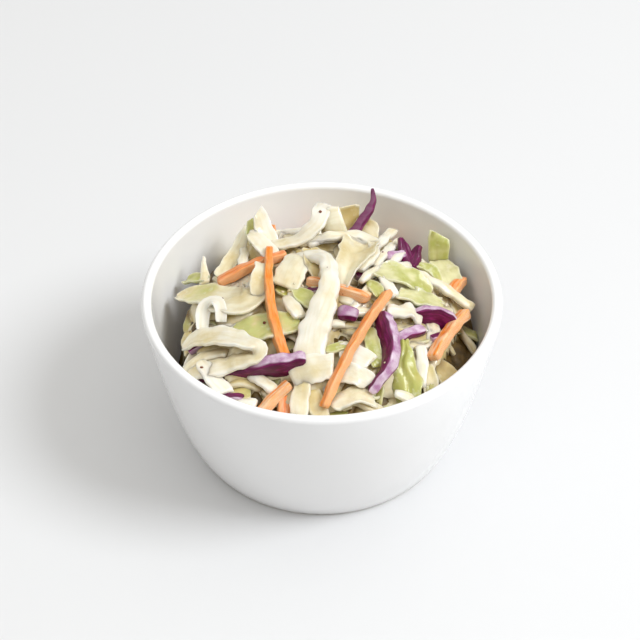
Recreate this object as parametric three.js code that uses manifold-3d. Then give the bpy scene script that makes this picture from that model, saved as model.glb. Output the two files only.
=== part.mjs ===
// Coleslaw in a small white glazed bowl. Lengths are millimetres, angles are degrees and +Z is up.
// The bowl's foot stands on z = 0 with its centre on the Z axis, and the slaw fills it in a heap.
import * as THREE from 'three';
import { mergeVertices } from 'three/addons/utils/BufferGeometryUtils.js';
import Module from 'manifold-3d';

// Driving dimensions of the bowl
const rimRadius = 50;
const bowlHeight = 50.5;
const wallThickness = 3;
const footRadius = 36.7;
const footRingWidth = 3.2;
const footRecess = 1.2;
const floorTop = 4.5;
const bellyRadius = 46.55;
const bellyHeight = 32.05;
const lowerCurve = new THREE.Vector2(41.7, 8);
const innerFloorRadius = 27;
const innerCurve = new THREE.Vector2(38.6, 7);
const segmentsRound = 48;
const curveSteps = 5;
const rimSteps = 6;

// Driving dimensions of the heap
const wallGap = 0.3;
const heapRadius = 43.5;
const heapEdge = 37;
const heapTop = 51;
const coreLift = 2;
const coreRipple = 0.7;
const coreRings = 8;
const coreCrowding = 0.75;
const gutterStart = 34;
const gutterDepth = 6.5;
const pocketMiddle = new THREE.Vector2(-0.996, 0.087);
const pocketStart = 36.5;
const pocketWidth = 3;
const pocketDepth = 13;
const pocketEdge = 0.9;
const pocketSoft = 0.07;
const frontShare = 0.3;
const rightShare = 0.3;
const headRoom = 80;
const leastEdge = 0.05;
const stepLength = 4;
const fillerSeed = 20611;
const fillerReach = [9, 18];
const fillerBend = 90;
const fillerTilt = 50;
const fillerWidth = [2.6, 5.2];
const fillerRise = 1.2;
const fillerDrop = 0.6;
const fillerAreas = [
  { count: 4, ring: [0, 34], sector: [0, 360] },
  { count: 12, ring: [29, 39], sector: [20, 150] },
];

// How thick each kind of shred is, and how many faces lie side by side across it
const kinds = {
  carrot: { thickness: 2.6, across: 1 },
  white: { thickness: 1.5, across: 1 },
  leaf: { thickness: 1, across: 2 },
  green: { thickness: 1, across: 2 },
  red: { thickness: 2.2, across: 1 },
};

// One shred that lies on top. It starts at a place, sets out at a heading (0 is +X, 90 is +Y) and runs
// on for its reach, seen from above. It turns by each of its turns in equal stretches. Lifts are its
// heights above the heap and widths its breadths, spaced equally from end to end. Tilt rolls it about
// its route, cup is how far its edges stand above its middle, and thickness replaces its kind's.
function lay(start, heading, reach, turns, lifts, widths, more = {}) {
  return { start, heading, reach, turns, lifts, widths, ...more };
}

const carrotShreds = [
  lay([18.4, -2], -115, 40.2, [-2, 0], [4, 4.6, 4.6, 3.4], [2.5], { thickness: 2.3, tilt: 36 }),
  lay([-14.8, 16.5], -91, 41.5, [2, 4, 8, 10], [4.8, 4.8, 4, 3, 1.8], [2, 2.9], { tilt: -10 }),
  lay([-28.8, 8], 19, 20, [2], [3, 3.4, 3], [3.2, 3.2, 2.8], { tilt: -18 }),
  lay([-3.8, 2.6], -24, 18, [4], [2, 2, 2.6], [3.2], { tilt: -24 }),
  lay([40.2, 0.5], -117, 23.5, [3], [3.4, 4, 4.2], [3.3], { thickness: 2.9, tilt: 30 }),
  lay([40, 14.6], -118, 9, [4], [5, 2.6], [3.1], { tilt: 10 }),
  lay([-14.2, 25.5], 86, 3.5, [0], [0.5, 7.5], [3, 1.8], { thickness: 2 }),
  lay([-8.8, -30.6], -137, 10.8, [-4], [1.8, 2.4], [3.2], { tilt: 26 }),
];

const whiteShreds = [
  // The large hook over the middle, the flap across its tail and the strip under it
  lay([-7.4, 12], 18, 47, [-72, -32, -16, -8, 8, 8], [3, 5.5, 6.5, 6, 5.2, 4.4, 3],
    [4.4, 4.8, 5, 6, 7.8, 8.6, 7.6], { thickness: 1.6, across: 2, cup: -0.7 }),
  lay([-5, -29.5], -97, 10, [0], [2.6, 2.2], [5]),
  lay([-8.6, -29.4], 6, 11.8, [4], [3.4, 4.2, 3.8], [7.4, 8, 7.6], { thickness: 1, tilt: 30 }),
  // The arched strip, the long strip that turns back on itself and the small arch on the left
  lay([-32.6, -10.2], 92, 16.5, [0, -10, -90, -60, -10, -10], [3, 4.4, 5.4, 6, 6, 5.4, 4.2],
    [3.4, 4, 3.8, 3.6, 3.4, 3.4], { thickness: 1 }),
  lay([-38, -13], -2, 45, [-10, -14, -4, -2, 2, -162, 6, 4, -8, 20],
    [2.6, 4.2, 4.8, 5.2, 5.6, 5.8, 5, 4.2, 4, 4, 3.4],
    [2.6, 6.8, 7.8, 7.8, 6.2, 4.4, 5.2, 6.6, 6.6, 5.8, 4], { thickness: 1.2 }),
  lay([-33, -21], -58, 12.4, [8], [4.6, 4, 3], [3.6, 4.8, 4.8]),
  lay([-25.5, -19.8], 158, 14, [18, 22, 32], [2.6, 3, 2.8, 2], [3, 3.2, 2.8]),
  lay([-19.6, -27.4], -30, 8.4, [-10], [1.8, 2.6, 2.2], [1.2, 3.4, 3.6]),
  lay([-22.4, -33], -20, 5.4, [-16], [2, 2.4], [3.4, 3.8]),
  // A chip near the middle, and the strips that stand at the back, left to right
  lay([-10.2, -3.8], -62, 9, [4], [2, 2.6, 2], [2.2, 4, 3.8]),
  lay([-21.8, 22.5], -94, 11, [2], [3.4, 2.6], [2.8]),
  lay([-13.6, 20.5], 124, 9, [-4], [2.6, 7, 13.6], [5, 5.4, 4.4], { thickness: 1 }),
  lay([-20.6, 23.4], -50, 11.6, [-6], [8.2, 6, 3.2], [3.4, 5.2, 5.6], { thickness: 1 }),
  lay([-33, 11.5], 94, 8, [0], [1.6, 7], [3.4, 0.8]),
  lay([-17, 20], 2, 25, [0, 8, 30, 44, -20], [3.4, 4, 4.6, 7.6, 11.4, 12.4], [3.6, 4.2, 5, 5, 5.2, 5],
    { thickness: 1.2 }),
  lay([-6, 21], -10, 37, [16, 24, -56, -64, -24, -10], [3.4, 5, 5.2, 5.2, 5, 4.4, 3],
    [3.2, 3.2, 3.4, 3.6, 3.4, 3, 2.4]),
  lay([20.6, 31.4], -112, 20, [-2, -4], [6, 5, 3.8, 2.4], [3, 2.6, 2.2]),
  lay([22.6, 26.6], -114, 18, [-2, 2], [5, 4.6, 4, 2.6], [2.4, 2.8, 2.2]),
  lay([23.8, 20], -117, 17, [0, 4], [4.6, 4.4, 3.6, 2.4], [2.2, 2.6, 2.4]),
  lay([25, 12.5], -156, 18, [12, 16], [4.2, 4.4, 3], [3, 3, 2.2]),
  lay([24, 12], -29, 20.2, [4, 2], [3, 4.2, 4], [2.6, 3, 2.8], { thickness: 1.8 }),
  // Pieces at the right and along the front
  lay([18, -7.4], -2, 9.4, [-6], [3, 3.8, 3.6], [4, 5.6, 5.2], { thickness: 1.4 }),
  lay([16.6, 3.4], -54, 7, [-10], [4.6, 3.4], [3]),
  lay([27, -17], -88, 11, [-4], [2.8, 2.4, 1.4], [3, 3.4, 2.6]),
  lay([4.6, -22.4], -14, 9, [-6], [2.6, 3, 2.4], [5.4, 6.2, 5.4], { thickness: 1, tilt: 20 }),
  lay([4.6, -28.6], -8, 8.6, [-14], [2.6, 3.4, 2.8], [5.2, 6, 4.8], { thickness: 1, tilt: 24 }),
  lay([19.6, -31.8], -14, 6.4, [10], [2, 2.6, 1.6], [2.6, 3.2, 2.4]),
];

const leafShreds = [
  // The large leaf on the left, the flap that stands up at its end and the sheet beside the hook
  lay([-40.8, 8.2], -22, 28, [-12, -10, 26, 80], [3, 3.4, 3.2, 3.2, 3], [2, 8.6, 10.4, 13, 6],
    { cup: 0.7 }),
  lay([-16.8, -3], 86, 12, [4], [2.6, 4, 5, 4.8], [6, 6.6, 5.4, 4.2], { cup: 0.6 }),
  lay([-5.6, 12.4], -113, 13.4, [4], [3.8, 3.8, 2.8], [8, 8.6, 8.2], { cup: -0.5 }),
  lay([-24, -14], 6, 18, [-6], [1.4, 1.8, 1.4], [8, 10.5, 7], { cup: 0.6 }),
  // The leaves that stand at the back
  lay([-28.8, 11.4], 62, 21.5, [8, 4], [1.8, 2.6, 4.6, 7.6], [5.2, 4.8, 4.2, 2.6], { cup: 0.3 }),
  lay([-18.2, 22], 108, 7.4, [0], [3, 7, 10.8], [4.4, 4.6, 2.4], { cup: 0.5 }),
  lay([0.4, 24.6], 12, 6.4, [-16], [6.4, 7.6, 7.6], [10.4, 11, 10], { thickness: 1.2, tilt: 60, cup: -1.3 }),
  lay([4.4, 31.6], 12, 6.6, [10], [5.4, 7.2, 9.4], [9, 8, 5.4], { tilt: 56, cup: 0.8 }),
  lay([11.4, 20], -104, 21, [-6], [4, 4, 3, 2], [10.6, 10, 7, 4.8], { cup: 2.2 }),
  lay([15, 25.4], 118, 9, [0], [2.4, 5.4, 8], [4, 7, 3], { cup: 0.5 }),
  // Pieces on the side of the pocket, along the front and at the right
  lay([-35.6, 7], -92, 12, [4], [-1.6, -1.8, -1.6], [6, 8.4, 7], { tilt: 48, cup: 0.4 }),
  lay([2.2, -36.4], 8, 12, [10, -24], [1.8, 3, 2.8, 1.6], [4.6, 6.6, 6.4, 5], { cup: 0.4 }),
  lay([28.4, -22], -76, 8, [-10], [2, 1.6], [3.4, 4.4, 3.2], { cup: 0.5 }),
];

const greenShreds = [
  lay([-38.6, 16.4], -36, 7.4, [4], [2.2, 2.6, 2], [3.4, 4.6, 3], { cup: 0.9 }),
  lay([-8, 0], -54, 10, [0], [1.6, 2, 1.6], [2.4, 5.2, 3], { cup: 0.5 }),
  lay([1, -22.6], 14, 7.4, [0], [2.4, 2.8, 2], [2.4, 3.2, 2.4], { across: 1 }),
  lay([12.6, -14.4], -80, 11, [4], [2, 2.4, 1.4], [3.4, 4.6, 3.4], { across: 1 }),
  lay([12.4, 1.6], -18, 5.6, [-60], [2.2, 2.8, 2], [3, 4, 2.6], { across: 1 }),
  lay([15.6, 5.8], -6, 15, [-8], [4.4, 5.4, 4.8, 3.6], [6, 7.8, 7, 4.4], { cup: 0.8 }),
  lay([21, -1.4], 4, 12.4, [-6], [3.4, 4, 3.4], [5, 6.4, 4.6], { cup: 0.6 }),
  lay([24.8, 14.4], 24, 11, [-44, -64], [2.6, 4, 2.8], [2.4, 3.2, 2], { across: 1 }),
  lay([33.4, 23], 86, 3.4, [0], [2, 7, 12], [6.2, 6.2, 6], { cup: 0.3 }),
  lay([33.4, 23], -74, 13.4, [2], [3.2, 3.8, 2.6], [6, 7.6, 6.6], { cup: 0.5 }),
  lay([22.2, -15.6], -88, 17, [2], [3.4, 4, 4, 3, 1.8], [3, 3.8, 6.2, 8.4, 7], { cup: -0.9 }),
];

const redShreds = [
  // The long curved shred at the right, its small neighbour and the block on its edge above them
  lay([16.8, -10.4], -88, 24.4, [12, 0, -32, -20, 0], [3.4, 4.2, 4.2, 4, 3.6, 2.6],
    [4.6, 5.4, 5, 4.2, 3, 1.4], { thickness: 3.6, tilt: 48 }),
  lay([20.4, -16.8], 34, 9, [2], [3, 3.4, 3], [2.2, 2.4], { thickness: 3, tilt: -76 }),
  lay([25.4, -7], 4, 12, [10, -22], [2.6, 3.2, 2.4], [5, 6.8, 4.6], { thickness: 2.4, tilt: 78 }),
  // The shred on its edge under the strip that turns back, and the small ends beside it
  lay([-4.4, -26.4], 184, 31, [-6, -4, -8, -6], [3.4, 3.2, 1.8, 1.2, 0.8], [6, 6.6, 5.8, 4.4, 3, 2.2],
    { thickness: 2.8, tilt: -97 }),
  lay([-27, -31], -18, 6.4, [8], [2, 2.2, 1.6], [2.2]),
  lay([-36.2, -14.4], 22, 4.4, [0], [2, 2], [2.4]),
  // The small block in the middle, and the ruffled pieces and the spike at the back
  lay([4.6, -10.6], -2, 5, [-10], [2.6, 3, 2.6], [2.6, 2.8, 2.4], { thickness: 4, tilt: 105 }),
  lay([18.4, 15.2], 32, 5.4, [-10], [3.4, 4.4], [2.4, 2.8], { thickness: 3, tilt: -70 }),
  lay([25, 14], 108, 8.4, [0], [2, 4, 8], [4.8, 4.2, 2], { tilt: 20 }),
  lay([24.4, 13.6], 62, 8, [6], [2, 4, 7.6], [4.4, 3.8, 2], { tilt: -20 }),
  lay([5.6, 19.6], 57, 24, [4, 2, 34], [2.4, 6, 10.6, 17], [2, 1.9, 1.7, 0.8],
    { thickness: 2.4, tilt: 82 }),
];

// Reads equally spaced values at a share of their length, 0 to 1, along one smooth curve
function valueAlong(values, share) {
  const last = values.length - 1;
  if (last === 0) {
    return values[0];
  }
  const place = share * last;
  const index = Math.min(Math.floor(place), last - 1);
  const part = place - index;
  const from = values[index];
  const to = values[index + 1];
  const slopeFrom = index > 0 ? (to - values[index - 1]) / 2 : to - from;
  const slopeTo = index + 2 <= last ? (values[index + 2] - from) / 2 : to - from;
  const square = part * part;
  const cube = square * part;
  const rise = 3 * square - 2 * cube;
  return from + (to - from) * rise + slopeFrom * (cube - 2 * square + part) + slopeTo * (cube - square);
}

// The height of the heap's smooth surface, which the shreds' lifts are measured from
function heapHeight(x, y) {
  const ratio = (x * x + y * y) / (heapRadius * heapRadius);
  return heapEdge + (heapTop - heapEdge) * Math.max(0, 1 - ratio);
}

// 0 below 0 and 1 above 1, with a soft step between them
function softStep(value) {
  const share = THREE.MathUtils.clamp(value, 0, 1);
  return share * share * (3 - 2 * share);
}

// How far the slaw sinks along the wall: least at the front (-Y), with a deep pocket on the left (-X)
function gutter(x, y) {
  const radius = Math.hypot(x, y);
  if (radius < gutterStart) {
    return 0;
  }
  const beyond = (radius - gutterStart) / (heapRadius - gutterStart);
  const facing = (x * pocketMiddle.x + y * pocketMiddle.y) / radius;
  const within = softStep((facing - pocketEdge) / pocketSoft);
  const pocket = within * softStep((radius - pocketStart) / pocketWidth);
  const backward = (1 + y / radius) / 2;
  const right = Math.max(0, x / radius) ** 4;
  const share = frontShare + (1 - frontShare) * backward - rightShare * right;
  return gutterDepth * share * beyond * beyond + pocketDepth * pocket;
}

// The height of the bare core
function coreHeight(x, y) {
  const ripple = coreRipple * Math.sin(x * 0.55 + y * 0.21) * Math.cos(y * 0.48 - x * 0.17);
  return heapHeight(x, y) + coreLift + ripple - gutter(x, y);
}

// Seeded random numbers from 0 to 1
function makeRandom(seed) {
  let state = seed;
  return () => {
    state = (state * 16807) % 2147483647;
    return state / 2147483647;
  };
}

// Turns a closed geometry into a solid that can be joined and cut
const library = await Module();
library.setup();

function toSolid(geometry) {
  geometry.deleteAttribute('normal');
  geometry.deleteAttribute('uv');
  const merged = mergeVertices(geometry, 1e-5);
  const vertProperties = new Float32Array(merged.attributes.position.array);
  const triVerts = new Uint32Array(merged.index.array);
  return new library.Manifold(new library.Mesh({ numProp: 3, vertProperties, triVerts }));
}

function toGeometry(solid) {
  const mesh = solid.getMesh();
  const geometry = new THREE.BufferGeometry();
  geometry.setAttribute('position', new THREE.BufferAttribute(new Float32Array(mesh.vertProperties), 3));
  geometry.setIndex(new THREE.BufferAttribute(new Uint32Array(mesh.triVerts), 1));
  return geometry;
}

// A profile of (radius, height) points turned once round the Z axis
function turned(profile) {
  const geometry = new THREE.LatheGeometry(profile, segmentsRound);
  geometry.rotateX(Math.PI / 2);
  return toSolid(geometry);
}

// The inside of the wall from the floor's centre up to the rim, moved in by a gap
const wallSlope = (rimRadius - bellyRadius) / (bowlHeight - bellyHeight);
const rimRound = wallThickness / 2;
const rimCentre = new THREE.Vector2(rimRadius - rimRound, bowlHeight - rimRound);

function innerProfile(gap) {
  const shoulder = new THREE.Vector2(bellyRadius - wallThickness - gap, bellyHeight);
  const floorEdge = new THREE.Vector2(innerFloorRadius - gap, floorTop + gap);
  const bend = new THREE.Vector2(innerCurve.x - gap, innerCurve.y + gap);
  const curve = new THREE.QuadraticBezierCurve(floorEdge, bend, shoulder);
  return [new THREE.Vector2(0, floorTop + gap), ...curve.getPoints(curveSteps)];
}

function wallRadiusInside(height, gap) {
  return bellyRadius - wallThickness - gap + (height - bellyHeight) * wallSlope;
}

// The bowl: foot ring, curved belly, straight wall, half-round rim and smooth inside
function makeBowl() {
  const footInner = footRadius - footRingWidth;
  const belly = new THREE.QuadraticBezierCurve(
    new THREE.Vector2(footRadius, 0),
    lowerCurve,
    new THREE.Vector2(bellyRadius, bellyHeight),
  );
  const rim = [];
  for (let step = 0; step <= rimSteps; step += 1) {
    const angle = (Math.PI * step) / rimSteps;
    rim.push(new THREE.Vector2(
      rimCentre.x + rimRound * Math.cos(angle),
      rimCentre.y + rimRound * Math.sin(angle),
    ));
  }
  const profile = [
    new THREE.Vector2(0, footRecess),
    new THREE.Vector2(footInner - footRecess, footRecess),
    new THREE.Vector2(footInner, 0),
    ...belly.getPoints(curveSteps + 1),
    ...rim,
    ...innerProfile(0).reverse(),
  ];
  return turned(profile);
}

// The space inside the bowl and above it that the slaw may fill
function makeRoom() {
  const profile = [
    ...innerProfile(wallGap),
    new THREE.Vector2(wallRadiusInside(headRoom, wallGap), headRoom),
    new THREE.Vector2(0, headRoom),
  ];
  return turned(profile);
}

// The heap's core: it fills the bowl up to a rippled dome just under the shreds. Where its edge lies
// lower than the belly, its side comes down with it
function makeCore() {
  const edgeRadius = wallRadiusInside(heapEdge - gutterDepth, wallGap);
  const profile = [];
  for (let ring = coreRings; ring >= 0; ring -= 1) {
    profile.push(new THREE.Vector2(edgeRadius * (ring / coreRings) ** coreCrowding, heapTop));
  }
  const geometry = new THREE.LatheGeometry([...innerProfile(wallGap), ...profile], segmentsRound);
  geometry.rotateX(Math.PI / 2);
  const position = geometry.attributes.position;
  for (let index = 0; index < position.count; index += 1) {
    const [x, y, z] = [position.getX(index), position.getY(index), position.getZ(index)];
    if (z > bellyHeight + 1) {
      position.setZ(index, coreHeight(x, y));
    } else if (z > floorTop + 1) {
      const outward = edgeRadius / Math.hypot(x, y);
      const edge = Math.min(bellyHeight, coreHeight(x * outward, y * outward) - 1);
      position.setZ(index, floorTop + ((z - floorTop) * (edge - floorTop)) / (bellyHeight - floorTop));
    }
  }
  return toSolid(geometry);
}

// The places a shred passes, each with the heading there
function routeOf(shred) {
  const stretches = shred.turns.length;
  const steps = stretches * Math.max(1, Math.round(shred.reach / (stepLength * stretches)));
  const stride = shred.reach / steps;
  const route = [];
  let [x, y] = shred.start;
  let heading = THREE.MathUtils.degToRad(shred.heading);
  for (let step = 0; step <= steps; step += 1) {
    const share = step / steps;
    const lift = valueAlong(shred.lifts, share);
    route.push({ share, heading, place: new THREE.Vector3(x, y, heapHeight(x, y) + lift) });
    const stretch = Math.min(stretches - 1, Math.floor(share * stretches + 1e-9));
    const turn = (THREE.MathUtils.degToRad(shred.turns[stretch]) * stretches) / steps;
    x += stride * Math.cos(heading + turn / 2);
    y += stride * Math.sin(heading + turn / 2);
    heading += turn;
  }
  return route;
}

// The corners of a shred's cross-section: along its upper face, then back along its lower face
function sectionOf(width, thickness, across, cup) {
  const upper = [];
  const lower = [];
  for (let column = 0; column <= across; column += 1) {
    const side = (column / across) * 2 - 1;
    const sag = cup * side * side;
    upper.push([side * width / 2, sag + thickness / 2]);
    lower.unshift([side * width / 2, sag - thickness / 2]);
  }
  return [...upper, ...lower];
}

// One shred as a closed solid: its cross-section carried along its route
function makeShred(shred, kind) {
  const thickness = shred.thickness ?? kind.thickness;
  const across = shred.across ?? kind.across;
  const route = routeOf(shred);
  const positions = [];
  const indices = [];
  const corners = (across + 1) * 2;
  route.forEach(({ share, heading, place }, step) => {
    const before = route[Math.max(0, step - 1)].place;
    const after = route[Math.min(route.length - 1, step + 1)].place;
    const ahead = after.clone().sub(before).normalize();
    const tilt = THREE.MathUtils.degToRad(shred.tilt ?? 0);
    const side = new THREE.Vector3(Math.sin(heading), -Math.cos(heading), 0).applyAxisAngle(ahead, tilt);
    const above = side.clone().cross(ahead).normalize();
    const width = valueAlong(shred.widths, share);
    for (const [out, up] of sectionOf(width, thickness, across, shred.cup ?? 0)) {
      const corner = place.clone().addScaledVector(side, out).addScaledVector(above, up);
      positions.push(corner.x, corner.y, corner.z);
    }
  });
  for (let step = 0; step < route.length - 1; step += 1) {
    for (let corner = 0; corner < corners; corner += 1) {
      const next = (corner + 1) % corners;
      const here = step * corners;
      const there = here + corners;
      indices.push(here + corner, here + next, there + next);
      indices.push(here + corner, there + next, there + corner);
    }
  }
  const end = (route.length - 1) * corners;
  for (let column = 0; column < across; column += 1) {
    const under = corners - 1 - column;
    const [left, right] = [end + column, end + column + 1];
    const [lowLeft, lowRight] = [end + under, end + under - 1];
    indices.push(column, under - 1, column + 1, column, under, under - 1);
    indices.push(left, right, lowRight, left, lowRight, lowLeft);
  }
  const geometry = new THREE.BufferGeometry();
  geometry.setAttribute('position', new THREE.BufferAttribute(new Float32Array(positions), 3));
  geometry.setIndex(indices);
  const solid = toSolid(geometry);
  if (solid.volume() > 0) {
    return solid;
  }
  throw new Error(`a shred at ${shred.start} is inside out`);
}

// Shreds that fill in between the placed ones, strewn at random over each filler area. They sink with
// the core along the wall
function fillerShreds() {
  const random = makeRandom(fillerSeed);
  const shreds = [];
  for (const { count, ring, sector } of fillerAreas) {
    for (let index = 0; index < count; index += 1) {
      const radius = ring[0] + (ring[1] - ring[0]) * Math.sqrt(random());
      const angle = THREE.MathUtils.degToRad(sector[0] + (sector[1] - sector[0]) * random());
      const x = radius * Math.cos(angle);
      const y = radius * Math.sin(angle);
      const reach = THREE.MathUtils.lerp(...fillerReach, random());
      const heading = 360 * random();
      const bend = fillerBend * (random() - 0.5);
      const middle = THREE.MathUtils.degToRad(heading + bend / 2);
      const lift = coreLift - gutter(x, y);
      const start = [x - (reach / 2) * Math.cos(middle), y - (reach / 2) * Math.sin(middle)];
      const lifts = [lift, lift + fillerRise * random(), lift - fillerDrop * random()];
      const width = THREE.MathUtils.lerp(...fillerWidth, random());
      const tilt = fillerTilt * (random() - 0.5);
      shreds.push(lay(start, heading, reach, [bend], lifts, [width], { tilt }));
    }
  }
  return shreds;
}

// The heap: core and shreds joined into one body that stays clear of the wall, without edges too short
// to matter
function makeSlaw() {
  const groups = [
    [carrotShreds, kinds.carrot],
    [whiteShreds, kinds.white],
    [leafShreds, kinds.leaf],
    [greenShreds, kinds.green],
    [redShreds, kinds.red],
    [fillerShreds(), kinds.white],
  ];
  let heap = makeCore();
  for (const [shreds, kind] of groups) {
    for (const shred of shreds) {
      heap = heap.add(makeShred(shred, kind));
    }
  }
  const bodies = heap.intersect(makeRoom()).asOriginal().simplify(leastEdge).decompose();
  bodies.sort((first, second) => second.volume() - first.volume());
  return bodies[0];
}

function named(name, solid, material) {
  const mesh = new THREE.Mesh(toGeometry(solid), new THREE.MeshStandardMaterial(material));
  mesh.name = name;
  return mesh;
}

const coleslaw = new THREE.Group();
coleslaw.name = 'coleslaw';
coleslaw.add(named('bowl', makeBowl(), { color: 0xf4f3f1, roughness: 0.14, metalness: 0 }));
coleslaw.add(named('slaw', makeSlaw(), { color: 0xe9e2c4, roughness: 0.35, metalness: 0 }));

export default coleslaw;
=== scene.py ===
"""Coleslaw heaped in a small white glazed bowl. Sizes are in millimetres and become metres in the meshes."""
import math
import bpy
import numpy as np
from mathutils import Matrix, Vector
from mathutils.bvhtree import BVHTree


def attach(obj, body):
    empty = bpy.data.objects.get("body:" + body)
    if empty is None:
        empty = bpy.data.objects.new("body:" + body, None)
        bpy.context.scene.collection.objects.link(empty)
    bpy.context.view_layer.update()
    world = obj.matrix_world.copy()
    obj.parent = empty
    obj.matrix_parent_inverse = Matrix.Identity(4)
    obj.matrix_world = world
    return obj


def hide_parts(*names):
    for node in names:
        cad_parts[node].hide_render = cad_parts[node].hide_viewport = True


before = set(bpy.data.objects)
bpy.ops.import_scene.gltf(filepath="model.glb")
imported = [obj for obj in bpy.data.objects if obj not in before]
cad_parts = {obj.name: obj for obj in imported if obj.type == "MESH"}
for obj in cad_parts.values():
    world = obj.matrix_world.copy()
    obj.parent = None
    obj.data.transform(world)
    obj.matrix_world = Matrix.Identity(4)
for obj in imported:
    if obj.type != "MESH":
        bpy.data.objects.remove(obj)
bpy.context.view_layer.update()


# ---- The bowl -------------------------------------------------------------------------------------
# White porcelain, thrown with a straight flared wall over a round belly, on a low foot ring. It is
# dipped in clear glaze all over, and only the ring that it stands on is wiped bare.
MM = 0.001
RIM_RADIUS = 50
BOWL_HEIGHT = 50.5
WALL = 3
FOOT_RADIUS = 36.7
FOOT_RING = 3.2
FOOT_RECESS = 1.2
FLOOR_TOP = 4.5
BELLY = (46.55, 32.05)
LOWER_CURVE = (41.7, 8)
INNER_FLOOR = 27
INNER_CURVE = (38.6, 7)
WALL_SLOPE = (RIM_RADIUS - BELLY[0]) / (BOWL_HEIGHT - BELLY[1])
RIM_ROUND = WALL / 2
FOOT_ROUND = 0.5
RECESS_EDGE = 2
WIPED_BELOW = 0.1
GLAZED_ABOVE = 0.5
WALL_STEPS = 22
BOWL_SIDES = 160
MERGE_WITHIN = 0.01


def curve_points(start, bend, end, count):
    """Points along a quadratic curve, both ends included."""
    points = []
    for step in range(count + 1):
        t = step / count
        points.append(tuple(
            (1 - t) ** 2 * a + 2 * t * (1 - t) * b + t * t * c for a, b, c in zip(start, bend, end)
        ))
    return points


def arc_points(centre, radius, first, last, count):
    """Points along an arc between two angles in degrees, both ends included."""
    angles = [math.radians(first + (last - first) * step / count) for step in range(count + 1)]
    return [(centre[0] + radius * math.cos(a), centre[1] + radius * math.sin(a)) for a in angles]


def inner_profile(gap, steps):
    """The inside of the wall from the floor's centre up to the belly, moved in by a gap."""
    return [(0, FLOOR_TOP + gap)] + curve_points(
        (INNER_FLOOR - gap, FLOOR_TOP + gap),
        (INNER_CURVE[0] - gap, INNER_CURVE[1] + gap),
        (BELLY[0] - WALL - gap, BELLY[1]),
        steps,
    )


def deselect_all():
    bpy.ops.object.select_all(action="DESELECT")


def spin_profile(name, profile, steps):
    """Draws a profile of (radius, height) point by point and spins it once round the Z axis."""
    deselect_all()
    bpy.ops.mesh.primitive_plane_add(size=MM, location=(0, 0, 0))
    piece = bpy.context.object
    piece.name = name
    piece.data.name = name
    bpy.ops.object.mode_set(mode="EDIT")
    bpy.ops.mesh.select_all(action="SELECT")
    bpy.ops.mesh.merge(type="CENTER")
    bpy.ops.transform.translate(value=(profile[0][0] * MM, 0, profile[0][1] * MM))
    for before, after in zip(profile, profile[1:]):
        step = ((after[0] - before[0]) * MM, 0, (after[1] - before[1]) * MM)
        bpy.ops.mesh.extrude_region_move(TRANSFORM_OT_translate={"value": step})
    bpy.ops.mesh.select_all(action="SELECT")
    bpy.ops.mesh.spin(steps=steps, angle=math.tau, center=(0, 0, 0), axis=(0, 0, 1))
    bpy.ops.mesh.select_all(action="SELECT")
    bpy.ops.mesh.remove_doubles(threshold=MERGE_WITHIN * MM)
    bpy.ops.mesh.normals_make_consistent(inside=False)
    bpy.ops.object.mode_set(mode="OBJECT")
    bpy.ops.object.shade_smooth()
    return piece


class Shade:
    """A shader value: sums are written with it as they are, and node() adds any other node."""

    def __init__(self, tree, socket=None):
        self.tree = tree
        self.socket = socket

    def node(self, kind, settings=None, inputs=None, output=0):
        """Adds a node: its settings first, then the values or links of its sockets."""
        added = self.tree.nodes.new(kind)
        for name, value in (settings or {}).items():
            setattr(added, name, value)
        for name, value in (inputs or {}).items():
            if isinstance(value, Shade):
                self.tree.links.new(value.socket, added.inputs[name])
            else:
                added.inputs[name].default_value = value
        return Shade(self.tree, added.outputs[output] if added.outputs else None)

    def maths(self, operation, first, second):
        return self.node("ShaderNodeMath", {"operation": operation}, {0: first, 1: second})

    def __add__(self, other):
        return self.maths("ADD", self, other)

    __radd__ = __add__

    def __sub__(self, other):
        return self.maths("SUBTRACT", self, other)

    def __rsub__(self, other):
        return self.maths("SUBTRACT", other, self)

    def __mul__(self, other):
        return self.maths("MULTIPLY", self, other)

    __rmul__ = __mul__

    def between(self, low, high):
        """0 below low and 1 above high, with a soft step between them."""
        return self.node(
            "ShaderNodeMapRange", {"interpolation_type": "SMOOTHSTEP"}, {0: self, 1: low, 2: high}
        )

    def noise(self, scale, detail):
        """Noise read at this place."""
        return self.node("ShaderNodeTexNoise", None, {"Vector": self, "Scale": scale, "Detail": detail})


def colour(red, green, blue):
    """A colour given as display values from 0 to 255."""
    def linear(value):
        share = value / 255
        return share / 12.92 if share <= 0.04045 else ((share + 0.055) / 1.055) ** 2.4
    return (linear(red), linear(green), linear(blue), 1)


def new_material(name):
    """An empty node material, the value that its nodes start from, and the place on the piece."""
    material = bpy.data.materials.new(name)
    material.use_nodes = True
    material.node_tree.nodes.clear()
    start = Shade(material.node_tree)
    return material, start, start.node("ShaderNodeTexCoord", None, None, "Object")


def blend(factor, first, second):
    """A colour between two colours. The factor, or else the second colour, is a shader value."""
    start = factor if isinstance(factor, Shade) else second
    return start.node(
        "ShaderNodeMix", {"data_type": "RGBA", "clamp_factor": True}, {0: factor, 6: first, 7: second}, 2
    )


def cover(material, start, base, roughness, height, bump, distance, **constants):
    """Ends a material in one surface shader, with a bump of that strength and distance in mm."""
    normal = start.node(
        "ShaderNodeBump", None, {"Strength": bump, "Distance": distance * MM, "Height": height}
    )
    inputs = {"Base Color": base, "Roughness": roughness, "Normal": normal}
    inputs.update({name.replace("_", " "): value for name, value in constants.items()})
    surface = start.node("ShaderNodeBsdfPrincipled", None, inputs)
    start.node("ShaderNodeOutputMaterial", None, {"Surface": surface})
    return material


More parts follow.
